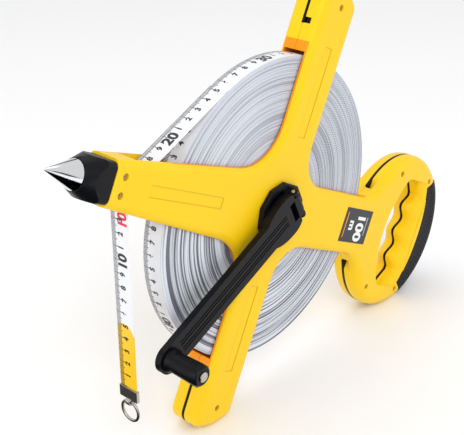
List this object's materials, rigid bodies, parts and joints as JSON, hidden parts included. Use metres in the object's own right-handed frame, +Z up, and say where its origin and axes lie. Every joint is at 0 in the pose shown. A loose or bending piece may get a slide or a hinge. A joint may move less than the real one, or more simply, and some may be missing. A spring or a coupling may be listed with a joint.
{
  "type": "surveyor tape reel",
  "caption": "Open-frame long tape measure on a reel with a D handle, ground spike, folding crank with turning knob, and a tape end hanging from the guide arm.",
  "frame": {"origin": "centre of the standing reel's outline, on the floor under it, free tape end left out", "axes": "+X horizontal towards the handle, +Y to the rear along the drum axis (the crank is on the -Y side), +Z up as the reel stands on its lower arm and its handle, tilted 26 degrees"},
  "size_m": [0.4416, 0.0754, 0.3163],
  "materials": {
    "yellow_shell": "satin moulded",
    "black_plastic": "fine texture",
    "grip_rubber": "soft, dotted",
    "spike_chrome": "polished",
    "steel": "plated",
    "bush_nylon": "plain",
    "tape": "coated, printed",
    "label_plate": "printed"
  },
  "bodies": {
    "frame": {"arm_core_bottom": "black_plastic", "arm_core_top": "black_plastic", "arm_screw_1": "steel", "arm_screw_2": "steel", "end_clasp": "steel", "front_bush": "bush_nylon", "front_shell": "yellow_shell", "guide_pin": "steel", "handle_core": "black_plastic", "handle_screw_1": "steel", "handle_screw_2": "steel", "handle_screw_3": "steel", "handle_screw_4": "steel", "length_label": "label_plate", "rear_bush": "bush_nylon", "rear_shell": "yellow_shell", "rubber_grip": "grip_rubber", "spike": "spike_chrome", "spike_screw_1": "steel", "spike_screw_2": "steel", "spike_socket": "black_plastic", "tape_end": "tape", "tape_lead": "tape"},
    "drum": {"tape_coil": "tape", "drum_spool": "black_plastic", "drum_flange": "black_plastic", "axle": "steel", "rear_retainer": "black_plastic", "rear_screw": "steel", "crank_hub": "black_plastic", "hub_screw": "steel", "hinge_pin": "steel"},
    "crank": {"crank_arm": "black_plastic", "knob_rivet": "steel"},
    "knob_grip": {"knob": "black_plastic"},
    "guide": {"guide_roller": "bush_nylon"},
    "pull_ring": {"end_ring": "steel"}
  },
  "joints": [
    {"name": "drum_spin", "type": "hinge", "parent": "frame", "child": "drum", "pos_m": [-0.02305, 0.0189, 0.1557], "axis": [0, 1, 0], "continuous": true},
    {"name": "crank_fold", "type": "hinge", "parent": "drum", "child": "crank", "pos_m": [-0.01041, -0.00335, 0.16173], "axis": [-0.4305, 0, 0.9026], "range_deg": [0, 180]},
    {"name": "knob_spin", "type": "hinge", "parent": "crank", "child": "knob_grip", "pos_m": [-0.14941, -0.0217, 0.09543], "axis": [0, 1, 0], "continuous": true},
    {"name": "guide_spin", "type": "hinge", "parent": "frame", "child": "guide", "pos_m": [-0.16027, 0.0189, 0.2154], "axis": [0, 1, 0], "continuous": true},
    {"name": "pull_ring_swing", "type": "hinge", "parent": "frame", "child": "pull_ring", "pos_m": [-0.16582, 0.0189, 0.0575], "axis": [0, 1, 0], "range_deg": [-90, 90]}
  ],
  "couplings": [
    {"joint": "guide_spin", "follows": "drum_spin", "ratio": 23.3}
  ]
}
